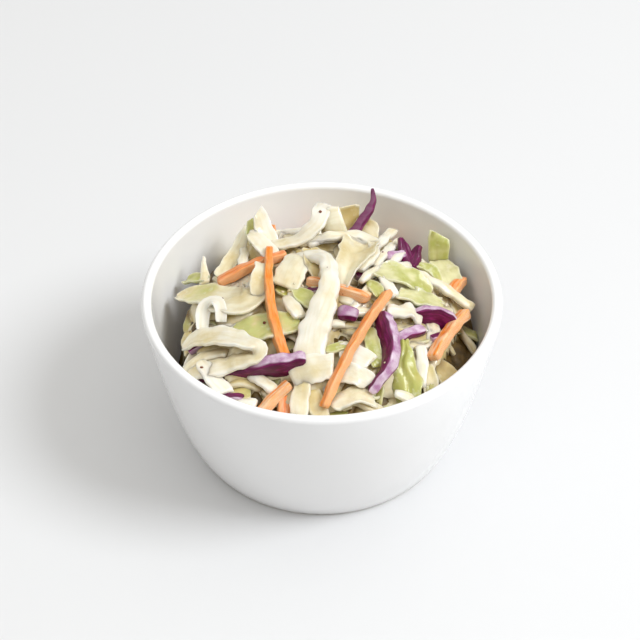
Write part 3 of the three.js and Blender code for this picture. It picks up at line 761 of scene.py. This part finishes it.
# ---- Pale leaf ------------------------------------------------------------------------------------
# Broad torn pieces of the inner leaves, thin and wavy, cream with a green blush. They are tossed in
# with the shreds and lie flat on them or stand up at the back.
pale_kind = dict(
    thick=1, across=11, sway=0.16, twist=4, uneven=0.06, rib=0.3, ruffle=0.4, ruffle_length=12,
    dimple=0.07, corner=0.4, green=0.35, slant=1.0, jag=0.18, rim=0.7,
)
pale_leaves = [
    # The large leaf on the left and the flap that stands up at its end
    lay((-40.8, 8.2), -22, 28, [-12, -10, 26, 80], [3, 3.4, 3.2, 3.2, 3], [2, 8.6, 10.4, 13, 6], cup=0.7,
        green=[0.1, 0.5, 0.35, 0.15, 0.05], ruffle=0.8, tone=0.35),
    lay((-16.8, -3), 86, 12, [4], [2.6, 4, 5, 4.8], [6, 6.6, 5.4, 4.2], cup=0.6, ruffle=0.2, tone=0.4,
        green=0.15),
    # The sheet beside the hook and the shaded leaf inside the hook
    lay((-5.6, 12.4), -113, 13.4, [4], [3.8, 3.8, 2.8], [8, 8.6, 8.2], cup=-0.5, ruffle=0.2, green=0,
        tone=0.15, slants=(0.1, -0.2)),
    lay((-3.4, 15.4), -76, 12.6, [4], [3.6, 3.4, 2.6, 1.4], [4, 6, 6.4, 4.4], cup=0.8, green=0.05, tone=1),
    lay((-24, -14), 6, 18, [-6], [1.4, 1.8, 1.4], [8, 10.5, 7], cup=0.6, green=0.9, tone=1),
    # The leaves that stand at the back
    lay((-28.8, 11.4), 62, 21.5, [8, 4], [1.8, 2.6, 4.6, 7.6], [5.2, 4.8, 4.2, 2.6], cup=0.3, ruffle=0,
        green=0.1, tone=0.1),
    lay((-18.2, 22), 108, 7.4, [0], [3, 7, 10.8], [4.4, 4.6, 2.4], cup=0.5, green=0.9, ruffle=0.3),
    lay((0.4, 24.6), 12, 6.4, [-16], [6.4, 7.6, 7.6], [10.4, 11, 10], tilt=60, cup=-1.3, thick=1.2,
        ruffle=0.8, tone=0.3, green=0.05),
    lay((4.4, 31.6), 12, 6.6, [10], [5.4, 7.2, 9.4], [9, 8, 5.4], tilt=56, cup=0.8, ruffle=0.6, tone=1,
        green=0.05, slants=(0, -0.6)),
    lay((11.4, 20), -104, 21, [-6], [4, 4, 3, 2], [10.6, 10, 7, 4.8], cup=2.2, ruffle=1.5, fold=0.5,
        green=0.05, tone=0.35),
    lay((15, 25.4), 118, 9, [0], [2.4, 5.4, 8], [4, 7, 3], cup=0.5, green=0.1, tone=0.5),
    # Pieces on the side of the pocket, along the front and at the right
    lay((-35.6, 7), -92, 12, [4], [-2.6, -2.8, -2.6], [6, 8.4, 7], tilt=48, cup=0.4, tone=1, green=0.6),
    lay((-36.4, -4), -88, 8, [4], [-1.4, -1, -0.4], [4, 6.4, 5], tilt=40, cup=0.3, tone=1, green=0.3),
    lay((2.2, -36.4), 8, 12, [10, -24], [1.8, 3, 2.8, 1.6], [4.6, 6.6, 6.4, 5], cup=0.4, ruffle=2, green=0,
        tone=0.1),
    lay((-2.4, -32.6), -70, 8, [0], [1.6, 1.4], [4, 5.4, 4], tone=0.7, green=0.2),
    lay((28.4, -22), -76, 8, [-10], [2, 1.6], [3.4, 4.4, 3.2], cup=0.5, tone=0.6),
    lay((31, -20), -20, 7, [0], [0, -0.6], [6, 8.4, 6], cup=0.6, tone=1),
    lay((-27, -30), -8, 8, [0], [0.8, 1.2, 0.8], [4, 6, 5], cup=0.3, tone=1, green=0.5),
]
pale_cabbage = join_strips(
    "pale_leaf_pieces",
    pale_leaves + strewn(84, 9203, (8, 17), (4.5, 9), (-1.6, 0.6)),
    pale_kind, 1723,
)
pale_cabbage.data.materials.append(cabbage_material(
    "pale_leaf", colour(239, 232, 206), colour(211, 189, 126), colour(198, 199, 124),
    colour(120, 88, 26), 0.4,
))
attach(pale_cabbage, "root")
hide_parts("slaw")


# ---- Green leaf -----------------------------------------------------------------------------------
# Pieces of the outer leaves, yellow-green with paler veins and edges, thin and springy. They are cut
# with the rest and stick up where they are curled.
green_kind = dict(
    thick=1, across=11, sway=0.18, twist=4, uneven=0.07, rib=0.35, ruffle=0.45, ruffle_length=9,
    dimple=0.08, corner=0.4, green=0.7, slant=1.0, jag=0.18, rim=0.6,
)
green_leaves = [
    lay((-38.6, 16.4), -36, 7.4, [4], [2.2, 2.6, 2], [3.4, 4.6, 3], cup=0.9),
    lay((-8, 0), -54, 10, [0], [1.6, 2, 1.6], [2.4, 5.2, 3], cup=0.5),
    lay((-12.6, 2.6), -50, 8, [0], [0.8, 0.8], [3, 4.4, 3], cup=0.4, tone=1),
    lay((1, -22.6), 14, 7.4, [0], [2.4, 2.8, 2], [2.4, 3.2, 2.4], cup=0.4),
    lay((12.6, -14.4), -80, 11, [4], [2, 2.4, 1.4], [3.4, 4.6, 3.4], cup=0.5),
    lay((12.4, 1.6), -18, 5.6, [-60], [2.2, 2.8, 2], [3, 4, 2.6], cup=0.5),
    lay((15.6, 5.8), -6, 15, [-8], [4.4, 5.4, 4.8, 3.6], [6, 7.8, 7, 4.4], cup=0.8,
        ruffle=1.6, green=[0.3, 0.7, 0.9, 0.6], tone=0.2),
    lay((21, -1.4), 4, 12.4, [-6], [3.4, 4, 3.4], [5, 6.4, 4.6], cup=0.6, ruffle=1.6,
        green=[0.2, 0.5, 0.4], tone=0.1),
    lay((24.8, 14.4), 24, 11, [-44, -64], [2.6, 4, 2.8], [2.4, 3.2, 2], cup=0.4, tone=0.8),
    lay((33.4, 23), 86, 3.4, [0], [2, 7, 12], [6.2, 6.2, 6], cup=0.3, ruffle=0.2, tone=0.5,
        slants=(0, -0.5)),
    lay((33.4, 23), -74, 13.4, [2], [3.2, 3.8, 2.6], [6, 7.6, 6.6], cup=0.5, ruffle=0.2, green=0.25,
        tone=0),
    lay((22.2, -15.6), -88, 17, [2], [3.4, 4, 4, 3, 1.8], [3, 3.8, 6.2, 8.4, 7], cup=-0.9, ruffle=3.2,
        fold=0.8, green=[0.9, 0.9, 0.6, 0.9], tone=1),
    lay((28.8, -25), -80, 4, [0], [1.8, 1.6], [2.4, 2.6], cup=0.3, tone=1),
    lay((17, -36), 20, 6, [0], [0.6, 0.8], [3, 4, 3], cup=0.3, tone=0.9),
    lay((0.6, -38), 0, 6, [0], [0.4, 0.6], [3, 4.4, 3], cup=0.3, tone=0.9),
]
green_cabbage = join_strips(
    "green_leaf_pieces",
    green_leaves + strewn(70, 5531, (7, 15), (3, 7), (-1.8, 0.4)),
    green_kind, 2939,
)
green_cabbage.data.materials.append(cabbage_material(
    "green_leaf", colour(229, 225, 180), colour(186, 174, 98), colour(184, 186, 98),
    colour(90, 76, 12), 0.35,
))
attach(green_cabbage, "root")
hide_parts("slaw")


# ---- Red cabbage ----------------------------------------------------------------------------------
# Thick shreds of red cabbage. Both skins are dark purple and shine, and the knife has bared the pale
# lilac flesh at the edges and ends.
red_kind = dict(
    thick=2.2, across=6, sway=0.14, twist=4, uneven=0.08, rib=0.1, ruffle=0.25, dimple=0.06, corner=0.26,
    slant=0.6, jag=0.05, rim=0.3,
)
red_shreds = [
    # The long curved shred at the right, its small neighbour and the block on its edge above them
    lay((16.8, -10.4), -88, 24.4, [12, 0, -32, -20, 0], [3.4, 4.2, 4.2, 4, 3.6, 2.6],
        [4.6, 5.4, 5, 4.2, 3, 1.4], thick=[4, 4, 3.8, 3.2, 2.4], tilt=48),
    lay((20.4, -16.8), 34, 9, [2], [3, 3.4, 3], [2.2, 2.4], thick=3, tilt=-76),
    lay((25.4, -7), 4, 12, [10, -22], [2.6, 3.2, 2.4], [5, 6.8, 4.6], thick=2.4, tilt=78),
    lay((30, -13.2), 36, 4, [0], [2.2, 2.4], [2.2]),
    # The shred on its edge under the left loops
    lay((-4.4, -26.4), 184, 31, [-6, -4, -8, -6], [3.4, 3.2, 1.8, 1.2, 0.8], [6, 6.6, 5.8, 4.4, 3, 2.2],
        thick=[3.4, 4.2, 2.8, 1.8, 1.4], tilt=-97, bare=[1, 0.9, 0.15, 0, 0]),
    lay((-27, -31), -18, 6.4, [8], [2, 2.2, 1.6], [2.2]),
    lay((-36.2, -14.4), 22, 4.4, [0], [2, 2], [2.4]),
    # The small block in the middle and the ruffled pieces and the spike at the back
    lay((4.6, -10.6), -2, 5, [-10], [2.6, 3, 2.6], [2.6, 2.8, 2.4], thick=[3.6, 4.4, 3.6], tilt=105,
        bare=0.62),
    lay((18.4, 15.2), 32, 5.4, [-10], [3.4, 4.4], [2.4, 2.8], thick=3, tilt=-70),
    lay((25, 14), 108, 8.4, [0], [2, 4, 8], [4.8, 4.2, 2], tilt=20, ruffle=3.5, bare=0.12),
    lay((25, 15.4), 88, 5, [0], [2, 3, 5], [5.4, 4.6, 3], ruffle=3.5, bare=0.12),
    lay((24.4, 13.6), 62, 8, [6], [2, 4, 7.6], [4.4, 3.8, 2], tilt=-20, ruffle=3.5, bare=0.12),
    lay((5.6, 19.6), 57, 24, [4, 2, 34], [2.4, 6, 10.6, 17], [2, 1.9, 1.7, 0.8],
        thick=[3, 2.8, 2.5, 1], tilt=82, bare=0.35),
    # Dark ends that show between the shreds
    lay((8.8, 19.8), 8, 3.6, [0], [2.8, 2.8], [1.6]),
    lay((9.6, 6.6), 0, 4, [0], [0.8, 0.8], [1.8]),
    lay((13.4, 7.8), 20, 3.4, [0], [1.4, 1.2], [1.6]),
    lay((2.2, 12), -50, 4.4, [0], [1.2, 1.2], [1.8]),
    lay((4.8, -1.8), -4, 4, [0], [1.2, 1.2], [1.8]),
    lay((-4.2, -1.2), 4, 4.6, [0], [0.9, 1], [2.2]),
]


def red_material():
    """Red cabbage: glossy dark purple skin with lighter rays, pale lilac flesh where it is cut, and painted
    shade, nearly black, the deeper it lies in the heap.
    """
    material, start, place = new_material("red_cabbage")
    tone, cut_and_highlight, buried_shade = surface_values(start, "tone", "cut_and_highlight", "buried_shade")
    run = start.node("ShaderNodeUVMap", {"uv_map": "run"})
    rays = drawn_out(run, 0.2, 1.0).noise(1.6, 3)
    mottle = place.noise(420, 3)
    skin = blend(rays.between(0.42, 0.78), colour(90, 0, 58), colour(138, 24, 98))
    fleck = (mottle * 0.6 + rays * 0.4).between(0.36, 0.66)
    flesh = blend(fleck, colour(222, 200, 216), colour(170, 112, 156))
    base = blend(cut_and_highlight.between(0.2, 0.8), skin, flesh)
    film = mottle.between(0.66, 0.82)
    base = blend(film * 0.2, base, colour(226, 206, 214))
    # Painted shade: nearly black the deeper the shred lies in the heap.
    base = blend(buried_shade * 0.5, base, colour(50, 4, 24))
    roughness = 0.3 + 0.2 * rays + 0.15 * cut_and_highlight
    return cover(
        material, start, base, roughness, rays * 0.6 + mottle * 0.5, 0.4, 0.3, IOR=1.42,
        Subsurface_Weight=0.08, Subsurface_Radius=(0.9, 0.4, 0.8), Subsurface_Scale=1.0 * MM,
        Coat_Weight=0.22, Coat_Roughness=0.15,
    )


red_cabbage = join_strips(
    "red_cabbage_shreds",
    red_shreds + strewn(9, 6211, (6, 12), (2, 4), (-0.8, 0.6), (34, 41), (50, 130)),
    red_kind, 3301,
)
red_cabbage.data.materials.append(red_material())
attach(red_cabbage, "root")
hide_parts("slaw")


# ---- Carrot ---------------------------------------------------------------------------------------
# Carrot cut into square sticks by a shredder's coarse blade, a little bent, with fibres along them.
# They lie on top of the cabbage, with a painted highlight along their corners.
carrot_kind = dict(
    thick=2.6, across=3, sway=0.12, twist=4, uneven=0.05, ruffle=0.03, dimple=0.04, corner=0.17, slant=0.5,
    blunt=0.5, push=0.04, rim=0.35,
)
carrot_sticks = [
    lay((18.4, -2), -115, 40.2, [-2, 0], [4, 4.6, 4.6, 3.4], [2.5], thick=2.3, tilt=36, tone=0.2, film=0.4),
    lay((-14.8, 16.5), -91, 41.5, [2, 4, 8, 10], [4.8, 4.8, 4, 3, 1.8], [2, 2.9], tilt=-10, tone=0.1,
        film=0.2),
    lay((-28.8, 8), 19, 20, [2], [3, 3.4, 3], [3.2, 3.2, 2.8], tilt=-18, tone=0.8, film=0.4),
    lay((-3.8, 2.6), -24, 18, [4], [2, 2, 2.6], [3.2], tilt=-24, tone=0.2, film=1),
    lay((40.2, 0.5), -117, 23.5, [3], [3.4, 4, 4.2], [3.3], thick=2.9, tilt=30, tone=0.2, film=0.8),
    lay((40, 14.6), -118, 9, [4], [5, 2.6], [3.1], tilt=10, tone=0.5),
    lay((-14.2, 25.5), 86, 3.5, [0], [0.5, 7.5], [3, 1.8], thick=2, tone=0.5),
    lay((-8.8, -30.6), -137, 10.8, [-4], [1.8, 2.4], [3.2], tilt=26, tone=0.1, film=1),
    lay((-9.6, -33), -98, 5, [4], [0.6, 0.2], [3.6], tilt=-20, tone=1),
]


def carrot_material():
    """Wet carrot: bright orange and fibrous, darker by its tone (painted shade where set high), with a
    painted highlight along the corners, paler where dressing clings, and painted shade where it lies deep.
    """
    material, start, place = new_material("carrot")
    tone, cut_and_highlight, cling, buried_shade = surface_values(start, "tone", "cut_and_highlight", "film", "buried_shade")
    run = start.node("ShaderNodeUVMap", {"uv_map": "run"})
    fibre = drawn_out(run, 0.3, 1.4).noise(1.7, 4)
    grain = place.noise(900, 3)
    film = drawn_out(run, 0.16, 0.9).noise(1, 3).between(0.38, 0.62)
    base = blend(fibre.between(0.3, 0.7), colour(240, 124, 16), colour(248, 150, 48))
    # A high tone is painted shade on sticks that lie in shade.
    base = blend(tone * 0.5, base, colour(222, 112, 48))
    # Painted highlight along the corners.
    base = blend(cut_and_highlight * 0.42, base, colour(254, 208, 150))
    base = blend(film * cling * 0.85, base, colour(252, 216, 178))
    # Painted shade: darker the deeper the stick lies in the heap.
    base = blend(buried_shade * 0.6, base, colour(170, 74, 12))
    roughness = 0.3 + 0.16 * grain
    return cover(
        material, start, base, roughness, fibre * 0.7 + grain * 0.5, 0.5, 0.3, IOR=1.42,
        Subsurface_Weight=0.15, Subsurface_Radius=(1.0, 0.4, 0.15), Subsurface_Scale=1.2 * MM,
        Coat_Weight=0.2, Coat_Roughness=0.2,
    )


carrot = join_strips(
    "carrot_sticks",
    carrot_sticks + strewn(7, 7321, (8, 14), (2.4, 3.1), (-0.8, 0.4), (36, 41), (55, 115)),
    carrot_kind, 4001,
)
carrot.data.materials.append(carrot_material())
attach(carrot, "root")
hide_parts("slaw")


# ---- Dressing -------------------------------------------------------------------------------------
# Thin cream dressing that the slaw is tossed in. It lies in small pools where shreds cross, and beads
# of it stand on top. It is laid over the finished heap from above. Each shred is first given painted
# shade, darker the deeper it lies under the top of the heap.
CELL = 1
HALF_GRID = 45
POOL_REACH = 40
POOL_THICK = 0.7
POOL_CELLS = 110
POOL_EDGE = 38
POOL_GUTTER = 3
POOL_DROP = 1.9
POOL_MORE_DROP = 1.8
POOL_PATCH = 0.35
POOL_SOFT = 0.7
LOOK_FROM = 100
SHADE_START = 0.8
SHADE_RANGE = 3


def look_down(trees, x, y):
    """The highest point of the shreds over a place, in mm, and the way that it faces."""
    height, facing = float(bed_height(x, y)), Vector((0, 0, 1))
    for tree in trees:
        point, normal, _, _ = tree.ray_cast(Vector((x * MM, y * MM, LOOK_FROM * MM)), Vector((0, 0, -1)))
        if point is not None and point.z / MM > height:
            height, facing = point.z / MM, normal
    return height, facing


def smoothed(grid, times):
    """A grid of heights averaged with its neighbours over and over."""
    for _ in range(times):
        padded = np.pad(grid, 1, mode="edge")
        grid = sum(
            padded[row:row + grid.shape[0], column:column + grid.shape[1]]
            for row in range(3) for column in range(3)
        ) / 9
    return grid


def read_grid(grid, x, y):
    """Reads a grid of heights between its points, kept just inside its last cell."""
    across = np.clip((x + HALF_GRID) / CELL, 0, grid.shape[0] - 1.001)
    along = np.clip((y + HALF_GRID) / CELL, 0, grid.shape[1] - 1.001)
    column, row = across.astype(int), along.astype(int)
    part_x, part_y = across - column, along - row
    near = grid[column, row] * (1 - part_x) + grid[column + 1, row] * part_x
    far = grid[column, row + 1] * (1 - part_x) + grid[column + 1, row + 1] * part_x
    return near * (1 - part_y) + far * part_y


def coordinates(piece):
    """A piece's vertices, in mm."""
    values = np.zeros(len(piece.data.vertices) * 3)
    piece.data.vertices.foreach_get("co", values)
    return values.reshape(-1, 3) / MM


def paint_buried_shade(piece, level):
    """Stores on each vertex how deep it lies under the top of the heap around it: the share of painted shade
    that its material darkens it by.
    """
    place = coordinates(piece)
    buried = read_grid(level, place[:, 0], place[:, 1]) - place[:, 2] - SHADE_START
    share = np.clip(buried / SHADE_RANGE, 0, 1)
    piece.data.attributes["buried_shade"].data.foreach_set("value", share)


# Painted shade: the heap's top is found from above, and each shred is darkened by how far it lies under it.
shreds = [white_cabbage, pale_cabbage, green_cabbage, red_cabbage, carrot]
trees = [
    BVHTree.FromPolygons(
        [vertex.co for vertex in piece.data.vertices], [face.vertices[:] for face in piece.data.polygons]
    )
    for piece in shreds
]
stops = range(-HALF_GRID, HALF_GRID + 1, CELL)
heights = np.array([[look_down(trees, x, y)[0] for y in stops] for x in stops])
heap_level = smoothed(heights, 3)
for piece in shreds:
    paint_buried_shade(piece, heap_level)


def pool_sheet():
    """The pools: a skin a little under the heap's smoothed top, which shows only in its hollows."""
    deselect_all()
    bpy.ops.mesh.primitive_grid_add(
        x_subdivisions=POOL_CELLS, y_subdivisions=POOL_CELLS, size=2 * POOL_REACH * MM
    )
    sheet = bpy.context.object
    sheet.name = "dressing_pools"
    sheet.data.name = "dressing_pools"
    bpy.ops.object.mode_set(mode="EDIT")
    bpy.ops.mesh.select_all(action="DESELECT")
    bpy.ops.object.mode_set(mode="OBJECT")
    pool_level = smoothed(heights, 2)
    for vertex in sheet.data.vertices:
        x, y = vertex.co.x / MM, vertex.co.y / MM
        patchy = math.sin(x * 0.31 + 1.3 * math.sin(y * 0.23)) * math.sin(y * 0.27 + math.cos(x * 0.19))
        drop = POOL_DROP + POOL_MORE_DROP * float(soft_step((POOL_PATCH - patchy) / POOL_SOFT))
        vertex.co.z = (float(read_grid(pool_level, np.array(x), np.array(y))) - drop) * MM
        vertex.select = bool(math.hypot(x, y) > POOL_EDGE or gutter(x, y) > POOL_GUTTER)
    bpy.ops.object.mode_set(mode="EDIT")
    bpy.ops.mesh.delete(type="VERT")
    bpy.ops.object.mode_set(mode="OBJECT")
    thicken = sheet.modifiers.new("thicken", "SOLIDIFY")
    thicken.thickness = POOL_THICK * MM
    thicken.offset = -1
    bpy.ops.object.modifier_apply(modifier="thicken")
    bpy.ops.object.shade_smooth()
    return sheet


def dressing_material():
    """Cream dressing: smooth, glossy and slightly see-through, with a yellow cast in patches."""
    material, start, place = new_material("dressing")
    patch = place.noise(230, 2)
    fine = place.noise(800, 2)
    base = blend(patch.between(0.35, 0.65), colour(228, 218, 188), colour(200, 180, 126))
    return cover(
        material, start, base, 0.2 + 0.12 * fine, patch + fine * 0.4, 0.35, 0.4, IOR=1.42,
        Subsurface_Weight=0.3, Subsurface_Radius=(0.8, 0.9, 1.0), Subsurface_Scale=1.6 * MM,
        Coat_Weight=0.4, Coat_Roughness=0.1,
    )


DROP_SLIM = 0.8
DROP_LONGER = 0.5
DROP_RISE = 0.1
DROP_UNEVEN = 0.2


def drops(name, places, flatness, draw):
    """Small rounded lumps that lie on the shreds: each an uneven ball with its underside sunk in."""
    rows, columns = 6, 9
    vertices, faces = [], []
    for x, y, size in places:
        height, facing = look_down(trees, x, y)
        across = facing.cross(Vector((0, 1, 0))).normalized()
        along = facing.cross(across)
        longer = DROP_SLIM + DROP_LONGER * draw()
        first = len(vertices)
        centre = Vector((x, y, height)) + facing * size * flatness * DROP_RISE
        for row in range(rows + 1):
            polar = math.pi * row / rows
            for column in range(columns if 0 < row < rows else 1):
                turn = math.tau * column / columns
                bulge = size / 2 * (1 + DROP_UNEVEN * (draw() - 0.5))
                out = across * math.cos(turn) * longer + along * math.sin(turn)
                spot = centre + out * bulge * math.sin(polar) + facing * bulge * flatness * math.cos(polar)
                vertices.append(tuple(value * MM for value in spot))
        last = len(vertices) - 1
        for column in range(columns):
            after = (column + 1) % columns
            faces.append((first, first + 1 + column, first + 1 + after))
            faces.append((last, last - columns + after, last - columns + column))
            for row in range(rows - 2):
                here = first + 1 + row * columns
                below = here + columns
                faces.append((here + column, below + column, below + after, here + after))
    mesh = bpy.data.meshes.new(name)
    mesh.from_pydata(vertices, [], faces)
    mesh.polygons.foreach_set("use_smooth", np.ones(len(mesh.polygons), bool))
    return add_object(name, mesh)


def scattered(count, reach, smallest, spread, power, draw):
    """Places and sizes of small things strewn over the heap. A high power keeps most of them small."""
    places = []
    for _ in range(count):
        far, turn = reach * math.sqrt(draw()), math.tau * draw()
        places.append((far * math.cos(turn), far * math.sin(turn), smallest + spread * draw() ** power))
    return places


dressing = dressing_material()
pools = pool_sheet()
drop_draw = make_random(1297)
drop_places = [(-10.8, -1.2, 1.2), (-8.9, -1.5, 1.3), (-7.6, 0.4, 0.8)]
drop_places += scattered(8, 36, 0.5, 0.5, 2, drop_draw)
beads = drops("dressing_beads", drop_places, 0.6, drop_draw)
for piece in (pools, beads):
    piece.data.materials.append(dressing)
    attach(piece, "root")
    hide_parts("slaw")


# ---- Seasoning ------------------------------------------------------------------------------------
# Specks of ground pepper and dried red pepper that came with the dressing. Each is a rough grain or
# flake of its own size, and it sticks where it lands.
def speck_material():
    """Dried spice: rough grains, each brown or orange brown."""
    material, start, place = new_material("seasoning")
    kind = place.noise(90, 0)
    grain = place.noise(3000, 2)
    base = blend(kind.between(0.48, 0.54), colour(124, 62, 30), colour(186, 102, 50))
    base = blend(grain * 0.4, base, colour(92, 44, 22))
    return cover(material, start, base, 0.45 + 0.2 * grain, grain, 0.5, 0.1)


speck_draw = make_random(3907)
speck_places = [(-27.6, -0.8, 1), (-15.6, -12, 1.1), (-0.4, 26.6, 1), (-32.4, -24, 0.8), (17.2, 16, 0.7)]
speck_places += scattered(7, 38, 0.3, 0.25, 1, speck_draw)
specks = drops("seasoning_specks", speck_places, 0.45, speck_draw)
specks.data.materials.append(speck_material())
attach(specks, "root")
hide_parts("slaw")


# ---- Floor, light and camera ----------------------------------------------------------------------
# A plain pale table, a large soft lamp on the right, a wide sheet of light above, white light all
# round, and a camera that looks down at the bowl.
FLOOR_SIZE = 6000
WORLD_STRENGTH = 0.2
LAMP_AZIMUTH = -15
LAMP_ELEVATION = 49
LAMP_DISTANCE = 1400
LAMP_SIZE = 600
LAMP_POWER = 11.8
LAMP_TINT = (0.97, 1, 1.04)
SHEET_HEIGHT = 1000
SHEET_SIZE = 2600
SHEET_POWER = 18
SHEET_TINT = (1, 0.99, 0.95)
CAMERA_ELEVATION = 42.34
CAMERA_DISTANCE = 600
CAMERA_TARGET = (-0.464, 0, 40.4)
CAMERA_LENS = 120.7
CAMERA_SENSOR = 36


def floor_material():
    """A smooth pale matt table top, very slightly clouded."""
    material, start, place = new_material("pale_table")
    cloud = place.noise(3, 2)
    base = blend(cloud, colour(226, 226, 227), colour(228, 228, 228))
    return cover(material, start, base, 0.7 + 0.1 * cloud, cloud, 0.02, 1)


def soft_light(name, shape, size, power, tint):
    """A lamp that shines evenly from a disk or a square, its size in mm and its power in watts."""
    data = bpy.data.lights.new(name, "AREA")
    data.shape = shape
    data.size = size * MM
    data.energy = power
    data.color = tint
    return add_object(name, data)


deselect_all()
bpy.ops.mesh.primitive_plane_add(size=FLOOR_SIZE * MM, location=(0, 0, 0))
floor = bpy.context.object
floor.name = "floor"
floor.data.materials.append(floor_material())

world = bpy.data.worlds.new("studio")
bpy.context.scene.world = world
world.use_nodes = True
world.node_tree.nodes["Background"].inputs["Color"].default_value = (1, 1, 1, 1)
world.node_tree.nodes["Background"].inputs["Strength"].default_value = WORLD_STRENGTH

lamp = soft_light("soft_lamp", "DISK", LAMP_SIZE, LAMP_POWER, LAMP_TINT)
turn, rise = math.radians(LAMP_AZIMUTH), math.radians(LAMP_ELEVATION)
towards_lamp = Vector((math.cos(turn) * math.cos(rise), math.sin(turn) * math.cos(rise), math.sin(rise)))
lamp.location = towards_lamp * LAMP_DISTANCE * MM
lamp.rotation_euler = towards_lamp.to_track_quat("Z", "Y").to_euler()

sheet = soft_light("top_sheet", "SQUARE", SHEET_SIZE, SHEET_POWER, SHEET_TINT)
sheet.location = (0, 0, SHEET_HEIGHT * MM)

camera_data = bpy.data.cameras.new("camera")
camera_data.lens = CAMERA_LENS
camera_data.sensor_width = CAMERA_SENSOR
camera = add_object("camera", camera_data)
down = math.radians(CAMERA_ELEVATION)
camera.location = (
    CAMERA_TARGET[0] * MM,
    (CAMERA_TARGET[1] - CAMERA_DISTANCE * math.cos(down)) * MM,
    (CAMERA_TARGET[2] + CAMERA_DISTANCE * math.sin(down)) * MM,
)
camera.rotation_euler = (math.radians(90) - down, 0, 0)
bpy.context.scene.camera = camera
bpy.context.scene.view_settings.view_transform = "Standard"
